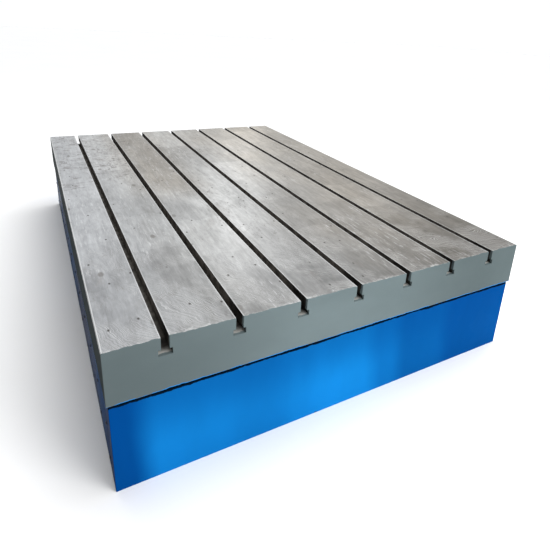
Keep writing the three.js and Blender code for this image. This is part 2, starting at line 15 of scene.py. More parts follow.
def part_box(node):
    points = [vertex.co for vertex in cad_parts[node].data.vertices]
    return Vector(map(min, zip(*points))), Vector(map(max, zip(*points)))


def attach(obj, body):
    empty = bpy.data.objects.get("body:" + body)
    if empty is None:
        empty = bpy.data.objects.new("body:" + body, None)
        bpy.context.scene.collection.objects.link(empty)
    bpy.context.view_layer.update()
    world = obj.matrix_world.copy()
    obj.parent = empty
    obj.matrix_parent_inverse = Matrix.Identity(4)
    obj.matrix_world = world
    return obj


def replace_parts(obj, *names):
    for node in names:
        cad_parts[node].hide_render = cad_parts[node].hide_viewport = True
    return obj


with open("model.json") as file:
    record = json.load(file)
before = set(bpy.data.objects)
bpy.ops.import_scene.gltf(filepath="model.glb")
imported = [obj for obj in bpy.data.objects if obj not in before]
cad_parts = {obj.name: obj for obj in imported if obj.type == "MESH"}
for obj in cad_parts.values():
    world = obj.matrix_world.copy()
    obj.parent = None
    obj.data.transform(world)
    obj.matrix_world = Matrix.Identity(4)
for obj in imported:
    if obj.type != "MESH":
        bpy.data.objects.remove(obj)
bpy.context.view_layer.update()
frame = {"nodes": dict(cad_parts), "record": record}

PLATEN_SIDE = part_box("platen")[1][0]
BASE_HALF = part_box("base_casting")[1]

SLOT_PITCH = 0.2
SLOT_HALF_WIDTH = 0.011
TEE_HALF_WIDTH = 0.0185

# Where the camera stands and how it is turned, in degrees.
CAMERA_PLACE = (-0.8185, -2.1538, 1.1983)
CAMERA_AZIMUTH = 30.742
CAMERA_ELEVATION = 19.144
CAMERA_ROLL = 3.531
CAMERA_LENS = 30.63  # mm on a 36 mm wide sensor
CAMERA_SHIFT = (-0.0545, -0.1545)


# ---------------------------------------------------------------- shader helper


class Shader:
    """One material's node tree. Textures are read in the row frame, so they turn with their body."""

    def __init__(self, name, **surface):
        self.material = bpy.data.materials.new(name)
        self.material.use_nodes = True
        self.nodes = self.material.node_tree.nodes
        self.links = self.material.node_tree.links
        self.surface = self.nodes["Principled BSDF"]
        self.coordinates = self.nodes.new("ShaderNodeTexCoord")
        self.place = self.coordinates.outputs["Object"]
        for socket, value in surface.items():
            self.surface.inputs[socket.replace("_", " ")].default_value = value

    def node(self, kind, **settings):
        made = self.nodes.new(kind)
        for name, value in settings.items():
            setattr(made, name, value)
        return made

    def feed(self, socket, value):
        """Links value into socket if it is a node's output, and otherwise sets it."""
        if isinstance(value, bpy.types.NodeSocket):
            self.links.new(value, socket)
        elif value is not None:
            socket.default_value = value

    def math(self, operation, first, second=None, clamp=False):
        made = self.node("ShaderNodeMath", operation=operation, use_clamp=clamp)
        self.feed(made.inputs[0], first)
        self.feed(made.inputs[1], second)
        return made.outputs[0]

    def product(self, *factors):
        total = factors[0]
        for factor in factors[1:]:
            total = self.math("MULTIPLY", total, factor)
        return total

    def between(self, factor, low, high):
        """The number that lies factor of the way from low to high."""
        made = self.node("ShaderNodeMix", data_type="FLOAT")
        for name, value in (("Factor", factor), ("A", low), ("B", high)):
            self.feed(made.inputs[name], value)
        return made.outputs["Result"]

    def axes(self, vector=None):
        """The X, Y and Z of a vector, by default of the place in the row frame."""
        made = self.node("ShaderNodeSeparateXYZ")
        self.feed(made.inputs[0], vector or self.place)
        return made.outputs

    def stretched(self, scale, offset=(0, 0, 0)):
        made = self.node("ShaderNodeMapping")
        self.feed(made.inputs["Vector"], self.place)
        made.inputs["Scale"].default_value = scale
        made.inputs["Location"].default_value = offset
        return made.outputs[0]

    def noise(self, scale, detail=3.0, roughness=0.55, stretch=(1, 1, 1), offset=(0, 0, 0), warp=0.0):
        made = self.node("ShaderNodeTexNoise")
        self.feed(made.inputs["Vector"], self.stretched(stretch, offset))
        made.inputs["Scale"].default_value = scale
        made.inputs["Detail"].default_value = detail
        made.inputs["Roughness"].default_value = roughness
        made.inputs["Distortion"].default_value = warp
        return made.outputs["Fac"]

    def ramp(self, value, low, high, start=0.0, end=1.0):
        """start where value is below low, end where it is above high, with a smooth step between."""
        made = self.node("ShaderNodeMapRange", interpolation_type="SMOOTHSTEP")
        self.feed(made.inputs["Value"], value)
        for socket, number in zip(made.inputs[1:5], (low, high, start, end)):
            socket.default_value = number
        return made.outputs[0]

    def blend(self, factor, first, second):
        made = self.node("ShaderNodeMix", data_type="RGBA")
        self.feed(made.inputs["Factor"], factor)
        self.feed(made.inputs["A"], first if hasattr(first, "links") else (*first, 1.0))
        self.feed(made.inputs["B"], second if hasattr(second, "links") else (*second, 1.0))
        return made.outputs["Result"]

    def scaled(self, colour, amount):
        """A colour made brighter or darker by a number that varies over the surface."""
        made = self.node("ShaderNodeVectorMath", operation="SCALE")
        self.feed(made.inputs[0], colour if hasattr(colour, "links") else tuple(colour))
        self.feed(made.inputs["Scale"], amount)
        return made.outputs[0]

    def spots(self, scale, low, high, stretch=(1, 1, 1), dimensions="3D"):
        """1 inside small scattered spots and 0 elsewhere. In 2D every cell seen from above has one."""
        made = self.node("ShaderNodeTexVoronoi", voronoi_dimensions=dimensions)
        self.feed(made.inputs["Vector"], self.stretched(stretch))
        made.inputs["Scale"].default_value = scale
        return self.ramp(made.outputs["Distance"], low, high, 1.0, 0.0)

    def finish(self, colour, roughness=None, metallic=None, height=None, bump=(0.2, 0.001)):
        self.feed(self.surface.inputs["Base Color"], colour)
        self.feed(self.surface.inputs["Roughness"], roughness)
        self.feed(self.surface.inputs["Metallic"], metallic)
        if height is not None:
            made = self.node("ShaderNodeBump")
            made.inputs["Strength"].default_value = bump[0]
            made.inputs["Distance"].default_value = bump[1]
            self.feed(made.inputs["Height"], height)
            self.feed(self.surface.inputs["Normal"], made.outputs[0])
        return self.material


# ---------------------------------------------------------------- materials

GREY_PAINT = (0.125, 0.158, 0.163)
BLUE_DEEP = (0.0006, 0.050, 0.215)
BLUE_BRIGHT = (0.0060, 0.196, 0.550)
BARE_IRON = ((0.315, 0.317, 0.313), (0.415, 0.417, 0.413))
# painted reflection: the bluish tint along the left of the top
BLUISH_SHEEN = (0.345, 0.355, 0.370)
WARM_IRON = (0.350, 0.322, 0.280)
# painted shadow that darkens both edges of the seam between platen and base
SEAM_SHADOW = (0.0015, 0.006, 0.014)
LEFT_WALL_TONE = 0.35  # darkens the paint on the left walls, in place of shade

CAST_IRON = (0.16, 0.155, 0.15)
ARC_MARKS = (0.70, 0.70, 0.69)
GLINTS = (0.70, 0.71, 0.72)
DARK_SCRAPES = (0.16, 0.15, 0.14)
SCOURED_IRON = (0.58, 0.60, 0.62)
SCRIBBLES = (0.15, 0.14, 0.135)
SMUDGES = (0.24, 0.225, 0.21)
PITS = (0.05, 0.045, 0.042)
DENTS = (0.11, 0.10, 0.09)
WORN_AND_HIGHLIT_EDGES = (0.66, 0.67, 0.67)
SLOT_DIRT = ((0.095, 0.088, 0.080), (0.240, 0.222, 0.200))
SLOT_END_FLOOR = (0.34, 0.34, 0.32)
PINHOLES = (0.03, 0.03, 0.03)
STRAY_BLUE = (0.010, 0.22, 0.62)
BLUE_SPECKS = (0.004, 0.05, 0.16)
CHIPS = (0.05, 0.05, 0.05)

# Where one look gives way to the next: the two ends of the soft step between them.
PLATEN_TOP_STEP = (0.4462, 0.4476)
PLATEN_END_STEP = (1.1465, 1.1495)
PLATEN_LAP_STEP = (1.1550, 1.1570)
PLATEN_SIDE_STEP = (0.7482, 0.7495)
PLATEN_LEFT_STEP = (-0.7498, -0.7490)
SLOT_BOTTOM_STEP = (0.392, 0.394)
STRAY_BLUE_STEP = (0.2806, 0.2826)
PLATEN_SEAM_STEP = (0.2790, 0.2804)
BASE_SEAM_STEP = (0.2862, 0.2880)
BASE_SIDE_STEP = (0.7436, 0.7444)
BASE_LEFT_STEP = (-0.7448, -0.7440)


def slot_distance(shader, x):
    """How far a point stands from the middle of the nearest T-slot, across the slots."""
    shifted = shader.math("ADD", x, 10.5 * SLOT_PITCH)
    within = shader.math("MODULO", shifted, SLOT_PITCH)
    return shader.math("ABSOLUTE", shader.math("SUBTRACT", within, SLOT_PITCH / 2))


def thin_lines(shader, scale, width, stretch, offset, warp=0.8):
    """1 along thin wandering lines, which are one contour of a noise, and 0 elsewhere."""
    field = shader.noise(scale, 4.0, 0.6, stretch, offset, warp)
    away = shader.math("ABSOLUTE", shader.math("SUBTRACT", field, 0.5))
    return shader.ramp(away, 0.0, width, 1.0, 0.0)


def patch_tone(shader, x, y):
    """Brightness of the rectangular patches that were ground one after another along each strip."""
    wobble = shader.math("MULTIPLY", shader.noise(9.0, 4.0), 0.30)
    strip = shader.math("FLOOR", shader.math("DIVIDE", x, SLOT_PITCH))
    along = shader.math("ADD", shader.math("MULTIPLY", y, 3.1), shader.math("MULTIPLY", strip, 0.37))
    cell = shader.math("FLOOR", shader.math("ADD", along, wobble))
    numbers = shader.node("ShaderNodeCombineXYZ")
    shader.feed(numbers.inputs["X"], strip)
    shader.feed(numbers.inputs["Y"], cell)
    white = shader.node("ShaderNodeTexWhiteNoise", noise_dimensions="2D")
    shader.feed(white.inputs["Vector"], numbers.outputs[0])
    return shader.ramp(white.outputs["Value"], 0.1, 0.9, 0.87, 1.03)


def grinding_arcs(shader, x, y):
    """Fine curved marks of a large grinding head, in patches and strongest near the front."""
    away = shader.math("ADD", shader.math("POWER", shader.math("SUBTRACT", x, 0.75), 2.0),
                       shader.math("POWER", shader.math("ADD", y, 0.20), 2.0))
    wobble = shader.math("MULTIPLY", shader.noise(7.0, 3.0), 0.10)
    bent = shader.math("ADD", shader.math("SQRT", away), wobble)
    ring_noise = shader.node("ShaderNodeTexNoise", noise_dimensions="1D")
    shader.feed(ring_noise.inputs["W"], shader.math("MULTIPLY", bent, 110.0))
    ring_noise.inputs["Detail"].default_value = 3.0
    marks = shader.ramp(ring_noise.outputs["Fac"], 0.46, 0.64)
    patchy = shader.ramp(shader.noise(4.2, 4.0, 0.6, (1, 1, 1), (5.0, 5.0, 0.0)), 0.44, 0.56)
    return shader.product(marks, patchy, shader.ramp(y, -1.10, -0.35, 1.0, 0.15))


def streak_tone(shader):
    """Short streaks along the slots: broad faint ones, and fine ones on top of them."""
    broad = shader.ramp(shader.noise(1.0, 5.0, 0.66, (36.0, 4.6, 1.0)), 0.34, 0.66, 0.91, 1.07)
    fine_field = shader.noise(1.0, 5.0, 0.70, (105.0, 11.0, 1.0), (3.0, 2.0, 0.0), 0.25)
    fine = shader.ramp(fine_field, 0.32, 0.68, 0.89, 1.10)
    return shader.product(broad, fine), fine_field


def iron_tint(shader, x, y):
    """Clean iron: bluish along the left as a painted reflection, and browner in clouds to the right; a
    painted sheen along a slanting line, with painted shade beside it, towards the front and at the front
    right.
    """
    cloud = shader.noise(2.3, 7.0, 0.62, (1.0, 0.6, 1.0), (3.1, 0.4, 0.0), 0.7)
    colour = shader.blend(shader.ramp(cloud, 0.36, 0.62), *BARE_IRON)
    # painted reflection: a bluish tint along the left
    colour = shader.blend(shader.ramp(x, -0.75, -0.40, 0.80, 0.0), colour, BLUISH_SHEEN)
    drift = shader.math("MULTIPLY", shader.math("SUBTRACT", shader.noise(1.6, 4.0), 0.5), 0.9)
    rightward = shader.math("ADD", x, drift)
    old_oil = shader.ramp(shader.math("ABSOLUTE", shader.math("ADD", x, 0.30)), 0.02, 0.24, 0.22, 0.0)
    oiled = shader.math("MULTIPLY", old_oil, shader.ramp(y, -0.30, 0.05))
    warmth = shader.math("ADD", shader.ramp(rightward, -0.20, 0.60, 0.0, 0.85),
                         shader.math("MULTIPLY", oiled, 3.4), clamp=True)
    colour = shader.blend(warmth, colour, WARM_IRON)
    # painted sheen along a slanting line, and painted shade beside it, at the front right and towards the
    # front
    painted_sheen_line = shader.math("SUBTRACT", x, shader.math("MULTIPLY", y, 0.46))
    from_sheen_line = shader.math("ABSOLUTE", shader.math("SUBTRACT", painted_sheen_line, 0.02))
    painted_sheen = shader.ramp(from_sheen_line, 0.03, 0.24, 1.24, 1.0)
    shade_beside_sheen = shader.ramp(painted_sheen_line, 0.10, 0.42, 1.0, 0.74)
    corner = shader.ramp(painted_sheen_line, 0.50, 1.20, 1.0, 0.62)
    front = shader.ramp(y, -1.15, -0.50, 0.62, 1.0)
    # darker along a strip round x = -0.5, in the front half
    darker_strip = shader.ramp(shader.math("ABSOLUTE", shader.math("ADD", x, 0.50)), 0.05, 0.16, 0.14, 0.0)
    darkened_strip = shader.math("MULTIPLY", darker_strip, shader.ramp(y, -0.25, 0.15, 1.0, 0.0))
    clean = shader.math("SUBTRACT", shader.math("SUBTRACT", 1.0, oiled), darkened_strip)
    return shader.scaled(colour, shader.product(painted_sheen, shade_beside_sheen, corner, front, clean))


def light_marks(shader, x, y, colour):
    """Grinding arcs, and fine glints in the patches that were worked most."""
    arcs = shader.math("MULTIPLY", grinding_arcs(shader, x, y), 0.38)
    colour = shader.blend(arcs, colour, ARC_MARKS)
    worked = shader.ramp(shader.noise(3.1, 4.0, 0.6, (1, 0.7, 1), (4.0, 0.0, 0.0)), 0.45, 0.58)
    glints = shader.ramp(shader.noise(1.0, 4.0, 0.70, (150.0, 15.0, 1.0), (3.0, 1.0, 0.0), 0.2), 0.55, 0.68)
    return shader.blend(shader.product(glints, worked, 0.34), colour, GLINTS)


def scratches(shader, y, leftward, colour):
    """Dark scrapes, scoured patches, and scribbled scratches on the rear half of the left."""
    scraped = shader.ramp(shader.noise(3.4, 4.0, 0.6, (1, 0.7, 1), (0.0, 6.0, 0.0)), 0.46, 0.58)
    dark = thin_lines(shader, 13.0, 0.014, (1.0, 0.35, 1.0), (9.0, 3.0, 0.0), 1.6)
    colour = shader.blend(shader.product(dark, scraped, 0.55), colour, DARK_SCRAPES)
    scoured = shader.ramp(shader.noise(6.0, 6.0, 0.72, (1.9, 0.5, 1.0), (8.0, 4.0, 0.0), 0.4), 0.47, 0.56)
    colour = shader.blend(shader.product(scoured, leftward, 0.11), colour, SCOURED_IRON)
    scribbled = shader.ramp(shader.noise(3.4, 4.0, 0.7, (1, 1, 1), (2.0, 7.0, 0.0)), 0.42, 0.52)
    lines = thin_lines(shader, 8.0, 0.028, (0.55, 1.1, 1.0), (5.0, 1.0, 0.0), 2.2)
    lines = shader.product(lines, scribbled, leftward, shader.ramp(y, -0.10, 0.15), 0.85)
    return shader.blend(lines, colour, SCRIBBLES)


def blemishes(shader, leftward, colour):
    """Brown smudges, small pits in crowds, and a few wider dents, mostly on the left."""
    smudges = shader.ramp(shader.noise(5.5, 6.0, 0.66, (1.0, 0.5, 1.0), (7.0, 2.0, 0.0), 1.2), 0.58, 0.72)
    colour = shader.blend(shader.math("MULTIPLY", smudges, 0.30), colour, SMUDGES)
    pits = shader.spots(11.0, 0.018, 0.050, (1.0, 0.6, 1.0), "2D")
    crowding = shader.math("ADD", shader.noise(6.0, 2.0, 0.5, (1, 1, 1), (1.0, 1.0, 0.0)),
                           shader.math("MULTIPLY", leftward, 0.08))
    crowded = shader.ramp(crowding, 0.48, 0.54)
    colour = shader.blend(shader.product(pits, crowded, 0.90), colour, PITS)
    dents = shader.spots(3.6, 0.018, 0.042, (1.0, 0.55, 1.0), "2D")
    return shader.blend(shader.product(dents, leftward, 0.60), colour, DENTS)


def worn_and_highlit_edges(shader, x, y, slot_gap):
    """1 where the top's edges are worn bright along the slots and frayed at the front, and along the sides,
    where wear and a painted highlight lighten them.
    """
    front = shader.math("ADD", y, shader.math("MULTIPLY", shader.noise(40.0, 5.0, 0.7), 0.10))
    frayed = shader.ramp(front, -1.118, -1.090, 0.50, 0.0)
    slot_edge = shader.ramp(slot_gap, SLOT_HALF_WIDTH + 0.0010, SLOT_HALF_WIDTH + 0.004, 0.40, 0.0)
    # painted highlight, with wear, along the side edges
    side_edge_highlight = shader.ramp(shader.math("ABSOLUTE", x), PLATEN_SIDE - 0.005, PLATEN_SIDE - 0.003, 0.0, 0.7)
    return shader.math("MAXIMUM", shader.math("MAXIMUM", slot_edge, side_edge_highlight), frayed)


def platen_top_colour(shader, x, y, slot_gap):
    """Ground iron with its marks, and the field that its fine streaks are drawn from."""
    streaks, fine_field = streak_tone(shader)
    mottling = shader.noise(22.0, 8.0, 0.74, (1.0, 0.4, 1.0), (0, 0, 0), 0.9)
    mottle = shader.ramp(mottling, 0.36, 0.64, 0.91, 1.07)
    tone = shader.product(streaks, mottle, patch_tone(shader, x, y))
    colour = shader.scaled(iron_tint(shader, x, y), tone)
    leftward = shader.ramp(x, -0.46, -0.20, 1.0, 0.15)
    colour = light_marks(shader, x, y, colour)
    colour = scratches(shader, y, leftward, colour)
    colour = blemishes(shader, leftward, colour)
    return shader.blend(worn_and_highlit_edges(shader, x, y, slot_gap), colour, WORN_AND_HIGHLIT_EDGES), fine_field


def grey_paint(shader, x, z):
    """Smooth grey paint with uneven tone, painted light brighter to the left and darker to the right, painted
    shade on the left wall, pinholes, blue that strayed onto the lower edge, and a painted shadow at the seam
    below it.
    """
    cloudy = shader.ramp(shader.noise(2.1, 4.0, 0.6, (1, 1, 1.6), (2.0, 0, 0)), 0.3, 0.7, 0.93, 1.07)
    # painted light across the front: brighter towards the left, darker towards the right
    lit_from_left = shader.ramp(x, -0.74, -0.18, 0.80, 1.20)
    shaded_to_right = shader.ramp(x, 0.05, 0.55, 0.95, 0.66)
    # painted shade: the platen's left wall is darker than the rest of its paint
    left_wall_shade = shader.ramp(x, *PLATEN_LEFT_STEP, LEFT_WALL_TONE, 1.0)
    paint = shader.scaled(GREY_PAINT, shader.product(cloudy, lit_from_left, shaded_to_right, left_wall_shade))
    pinholes = shader.spots(5.0, 0.010, 0.020)
    paint = shader.blend(shader.math("MULTIPLY", pinholes, 0.9), paint, PINHOLES)
    edge = shader.math("MULTIPLY", shader.noise(9.0, 6.0, 0.80, (1, 1, 0.2)), 0.020)
    below = shader.math("SUBTRACT", z, edge)
    paint = shader.blend(shader.ramp(below, *STRAY_BLUE_STEP, 1.0, 0.0), paint, STRAY_BLUE)
    # painted shadow: the seam darkens the platen's lower edge
    return shader.blend(shader.ramp(below, *PLATEN_SEAM_STEP, 1.0, 0.0), paint, SEAM_SHADOW)


def platen_material():
    shader = Shader("platen_iron_and_paint", Specular_IOR_Level=0.002)
    x, y, z = shader.axes()
    facing = shader.axes(shader.coordinates.outputs["Normal"])
    slot_gap = slot_distance(shader, x)
    top_colour, streaks = platen_top_colour(shader, x, y, slot_gap)

    # Paint covers the outside faces, laps over the ends' upper edges and runs a little way into the slots.
    reach = shader.math("MULTIPLY", shader.noise(38.0, 3.0), 0.016)
    end_gap = shader.math("ADD", shader.math("ABSOLUTE", y), reach)
    outside = shader.math("MAXIMUM", shader.ramp(end_gap, *PLATEN_END_STEP),
                          shader.ramp(shader.math("ABSOLUTE", x), *PLATEN_SIDE_STEP), clamp=True)
    lapped = shader.ramp(end_gap, *PLATEN_LAP_STEP, 1.0, 0.0)
    bare_top = shader.product(shader.ramp(facing[2], 0.50, 0.68), shader.ramp(z, *PLATEN_TOP_STEP), lapped)
    in_slot = shader.math("MULTIPLY", shader.ramp(slot_gap, TEE_HALF_WIDTH, TEE_HALF_WIDTH + 0.001, 1.0, 0.0),
                          shader.ramp(z, *SLOT_BOTTOM_STEP))
    dirt = shader.ramp(shader.noise(30.0, 4.0), 0.3, 0.7)
    slot_colour = shader.blend(dirt, *SLOT_DIRT)
    # darker towards the slots' ends
    slot_colour = shader.scaled(slot_colour, shader.ramp(end_gap, 1.00, 1.12, 1.0, 0.22))
    # lighter floor at the slots' ends: partly painted light on the lower lip, partly the iron's own lighter
    # colour there
    bright_floor = shader.product(shader.ramp(end_gap, 1.118, 1.148), shader.ramp(facing[2], 0.5, 0.8))
    slot_colour = shader.blend(bright_floor, slot_colour, SLOT_END_FLOOR)

    colour = shader.blend(in_slot, CAST_IRON, slot_colour)
    colour = shader.blend(outside, colour, grey_paint(shader, x, z))
    colour = shader.blend(bare_top, colour, top_colour)

    polish = shader.ramp(shader.noise(4.0, 4.0, 0.6, (1, 0.5, 1)), 0.3, 0.7, 0.34, 0.54)
    roughness = shader.between(bare_top, 0.50, polish)
    orange_peel = shader.math("MULTIPLY", shader.noise(160.0, 2.0), 0.25)
    height = shader.math("ADD", orange_peel, shader.math("MULTIPLY", streaks, bare_top))
    metallic = shader.math("MULTIPLY", bare_top, 0.50)
    return shader.finish(colour, roughness, metallic, height, (0.16, 0.0008))


# Upright bands of painted light on the base's paint: where each one ends, across the front, and how bright it
# is.
PAINTED_LIGHT_BANDS = (
    (-0.66, 0.03),
    (-0.42, 0.80),
    (-0.24, 0.70),
    (-0.14, 0.86),
    (0.10, 1.00),
    (0.22, 0.56),
    (0.45, 0.28),
    (0.75, 0.10),
)


def painted_light_tone(shader, across, height):
    """Steps softly from one band of painted light to the next, and fades the bright ones towards the top."""
    tone = PAINTED_LIGHT_BANDS[0][1]
    for (edge, _), (_, brightness) in zip(PAINTED_LIGHT_BANDS, PAINTED_LIGHT_BANDS[1:]):
        tone = shader.between(shader.ramp(across, edge - 0.045, edge + 0.045), tone, brightness)
    return shader.math("MULTIPLY", tone, shader.ramp(height, 0.08, 0.28, 1.0, 0.45))


def blue_paint_material():
    """Paint on a casting, almost without gloss: soft upright bands of painted light, painted shade on the
    left wall, a painted shadow along the seam, specks and chips.
    """
    shader = Shader("blue_gloss_paint", Specular_IOR_Level=0.002)
    x, y, z = shader.axes()
    drift = shader.math("MULTIPLY", shader.math("SUBTRACT", shader.noise(2.2, 3.0), 0.5), 0.10)
    across = shader.math("ADD", shader.math("ADD", x, drift), shader.math("MULTIPLY", z, 0.06))
    fine = shader.ramp(shader.noise(5.0, 4.0, 0.6, (1, 1, 0.30)), 0.3, 0.7, 0.95, 1.05)
    # painted shade: the base's left wall is darker than the rest of its paint
    left_wall_shade = shader.ramp(x, *BASE_LEFT_STEP, LEFT_WALL_TONE, 1.0)
    side_wall = shader.ramp(shader.math("ABSOLUTE", x), *BASE_SIDE_STEP)
    # painted light: soft upright bands along the side walls as well
    along = shader.noise(1.7, 2.0, 0.5, (0.1, 1.0, 0.12), (0.0, 3.7, 0.0))
    side_painted_light = shader.ramp(along, 0.38, 0.62, 0.0, 0.42)
    tone = shader.between(side_wall, painted_light_tone(shader, across, z), side_painted_light)
    painted_light_colour = shader.blend(tone, BLUE_DEEP, BLUE_BRIGHT)
    colour = shader.scaled(painted_light_colour, shader.math("MULTIPLY", fine, left_wall_shade))
    # painted shadow: a ragged dark band along the base's upper edge, kept to the outer rim
    ragged = shader.math("ADD", z, shader.math("MULTIPLY", shader.noise(11.0, 7.0, 0.8, (1, 1, 0.3)), 0.020))
    inset = shader.math("MAXIMUM", shader.math("SUBTRACT", shader.math("ABSOLUTE", x), BASE_HALF[0]),
                        shader.math("SUBTRACT", shader.math("ABSOLUTE", y), BASE_HALF[1]))
    rim = shader.ramp(inset, -0.012, -0.006)
    seam_shadow = shader.math("MULTIPLY", shader.ramp(ragged, *BASE_SEAM_STEP), rim)
    colour = shader.blend(seam_shadow, colour, SEAM_SHADOW)
    specks = shader.spots(8.0, 0.008, 0.018)
    colour = shader.blend(shader.math("MULTIPLY", specks, 0.5), colour, BLUE_SPECKS)
    chips = shader.math("MULTIPLY", shader.spots(30.0, 0.10, 0.16), shader.ramp(z, 0.004, 0.012, 1.0, 0.0))
    colour = shader.blend(shader.math("MULTIPLY", chips, 0.8), colour, CHIPS)
    gloss = shader.ramp(shader.noise(3.0, 3.0), 0.35, 0.7, 0.24, 0.34)
    wavy = shader.noise(4.0, 0.0, 0.5, (1, 1, 0.5))
    return shader.finish(colour, gloss, None, wavy, (0.12, 0.003))


def worked_metal(name, colour, roughness, grain=(60.0, 60.0, 4.0)):
    """Machined or plated metal with fine scratches and a little tarnish."""
    shader = Shader(name)
    lines = shader.noise(6.0, 4.0, 0.65, grain)
    tarnish = shader.ramp(shader.noise(24.0, 4.0), 0.35, 0.7, 0.82, 1.06)
    tone = shader.math("MULTIPLY", tarnish, shader.ramp(lines, 0.3, 0.7, 0.92, 1.06))
    gloss = shader.ramp(lines, 0.25, 0.75, roughness - 0.06, roughness + 0.10)
    return shader.finish(shader.scaled(colour, tone), gloss, 1.0, lines, (0.12, 0.0003))


def coated(name, colour, roughness, grain=90.0, depth=0.0004):
    """Paint, rubber or plastic with a fine surface grain and slightly uneven colour."""
    shader = Shader(name, Specular_IOR_Level=0.4)
    grainy = shader.noise(grain, 3.0)
    tone = shader.ramp(shader.noise(9.0, 4.0), 0.3, 0.7, 0.85, 1.12)
    gloss = shader.ramp(grainy, 0.3, 0.7, roughness - 0.05, roughness + 0.07)
    return shader.finish(shader.scaled(colour, tone), gloss, None, grainy, (0.3, depth))


SLOT_MATERIALS = {
    "blue_paint": blue_paint_material(),
    "bearing_steel": worked_metal("ground_bearing_steel", (0.60, 0.60, 0.61), 0.24),
    "gear_steel": worked_metal("oiled_gear_steel", (0.38, 0.37, 0.36), 0.34),
    "zinc_steel": worked_metal("zinc_plated_steel", (0.60, 0.61, 0.62), 0.36, (20.0, 20.0, 20.0)),
    "black_steel": coated("black_oxide_steel", (0.022, 0.022, 0.024), 0.42),
    "drive_grey": coated("cast_drive_grey", (0.16, 0.175, 0.18), 0.55, 60.0, 0.001),
    "motor_black": coated("motor_black_paint", (0.016, 0.016, 0.018), 0.40),
    "seal_rubber": coated("seal_rubber", (0.014, 0.014, 0.014), 0.75),
    "pipe_copper": worked_metal("drawn_copper", (0.62, 0.30, 0.18), 0.30),
    "fitting_brass": worked_metal("turned_brass", (0.62, 0.46, 0.20), 0.28),
    "plug_plastic": coated("moulded_black_plastic", (0.020, 0.020, 0.021), 0.50, 140.0),
}


def paint_nodes():
    """Every CAD node takes the material of its slot, and the platen its own."""
    slots = {part["node"]: part["material_slot"] for part in frame["record"]["subparts"]}
    platen = platen_material()
    for name, node in frame["nodes"].items():
        node.data.materials.clear()
        node.data.materials.append(platen if name == "platen" else SLOT_MATERIALS[slots[name]])


# ---------------------------------------------------------------- edges of the CAD nodes

EDGE_RADII = {
    "platen": 0.0012,
    "base_casting": 0.0030,
    "levelling_cover_left": 0.0006,
    "levelling_cover_right": 0.0006,
    "rear_cover": 0.0006,
    "service_panel": 0.0010,
}


def soften_edges():
    """Rounds the sharp edges of the outer castings and covers, as paint and use do."""
    for name, radius in EDGE_RADII.items():
        node = frame["nodes"][name]
        weld = node.modifiers.new("weld", "WELD")
        weld.merge_threshold = 0.00002
        bevel = node.modifiers.new("round_edges", "BEVEL")
        bevel.width = radius
        bevel.segments = 2
        bevel.limit_method = "ANGLE"
        bevel.angle_limit = math.radians(50)
        bevel.harden_normals = True


# ---------------------------------------------------------------- small fittings

TURNED_SIDES = 24


def hexagon_reach(angle, apothem):
    """Distance from a hexagon's middle to its outline in one direction."""
    return apothem / math.cos((angle + math.pi / 6) % (math.pi / 3) - math.pi / 6)


def add_turned(mesh, place, out, rings):
    """Adds a closed body to a bmesh, round a line from place towards out.

    Each ring is (radius, height), or (radius, height, "hexagon") with the hexagon's inner radius.
    """
    turn = Vector((0, 0, 1)).rotation_difference(Vector(out)).to_matrix().to_4x4()
    stand = Matrix.Translation(place) @ turn
    loops = []
    for radius, level, *shape in rings:
        loop = []
        for index in range(TURNED_SIDES):
            angle = 2 * math.pi * index / TURNED_SIDES
            reach = hexagon_reach(angle, radius) if shape else radius
            point = Vector((reach * math.cos(angle), reach * math.sin(angle), level))
            loop.append(mesh.verts.new(stand @ point))
        loops.append(loop)
    for lower, upper in zip(loops, loops[1:]):
        for index in range(TURNED_SIDES):
            after = (index + 1) % TURNED_SIDES
            mesh.faces.new((lower[index], lower[after], upper[after], upper[index]))
    mesh.faces.new(loops[-1])
    mesh.faces.new(list(reversed(loops[0])))


def add_screw(mesh, place, out, radius, height):
    """Adds one button-head screw with a hexagon socket."""
    socket = radius * 0.46
    add_turned(mesh, place, out, [
        (radius, 0.0),
        (radius, 0.35 * height),
        (0.90 * radius, 0.72 * height),
        (0.70 * radius, height),
        (socket, height, "hexagon"),
        (socket, 0.30 * height, "hexagon"),
    ])


def piece_from(mesh, name, slot_name):
    """Turns a bmesh into a shown piece that rides on the base."""
    data = bpy.data.meshes.new(name)
    mesh.to_mesh(data)
    mesh.free()
    piece = bpy.data.objects.new(name, data)
    bpy.context.scene.collection.objects.link(piece)
    data.materials.append(SLOT_MATERIALS[slot_name])
    for polygon in data.polygons:
        polygon.use_smooth = len(polygon.vertices) == 4
    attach(piece, "base")
    return piece


def spread(low, high, count):
    """Evenly spaced places from low to high, ends included."""
    return [low + (high - low) * index / (count - 1) for index in range(count)]


def side_cover_screws():
    """Two rows of screws along each long cover."""
    for name, side in (("left", -1), ("right", 1)):
        low, high = (Vector(corner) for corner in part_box(f"levelling_cover_{name}"))
        face = (low if side < 0 else high).x
        mesh = bmesh.new()
        for y in spread(low.y + 0.016, high.y - 0.016, 13):
            for z in (low.z + 0.014, high.z - 0.014):
                add_screw(mesh, (face, y, z), (side, 0, 0), 0.0055, 0.0028)
        piece_from(mesh, f"cover_screws_{name}", "black_steel")


def rear_screws():
    """Screws round the rear cover and round the service panel's rim."""
    for name, columns, radius, slot_name in (
        ("rear_cover", 5, 0.0055, "black_steel"),
        ("service_panel", 4, 0.0045, "zinc_steel"),
    ):
        low, high = (Vector(corner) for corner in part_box(name))
        mesh = bmesh.new()
        for x in spread(low.x + 0.010, high.x - 0.010, columns):
            for z in (low.z + 0.0095, high.z - 0.0095):
                add_screw(mesh, (x, high.y, z), (0, 1, 0), radius, radius * 0.5)
        piece_from(mesh, f"{name}_screws", slot_name)


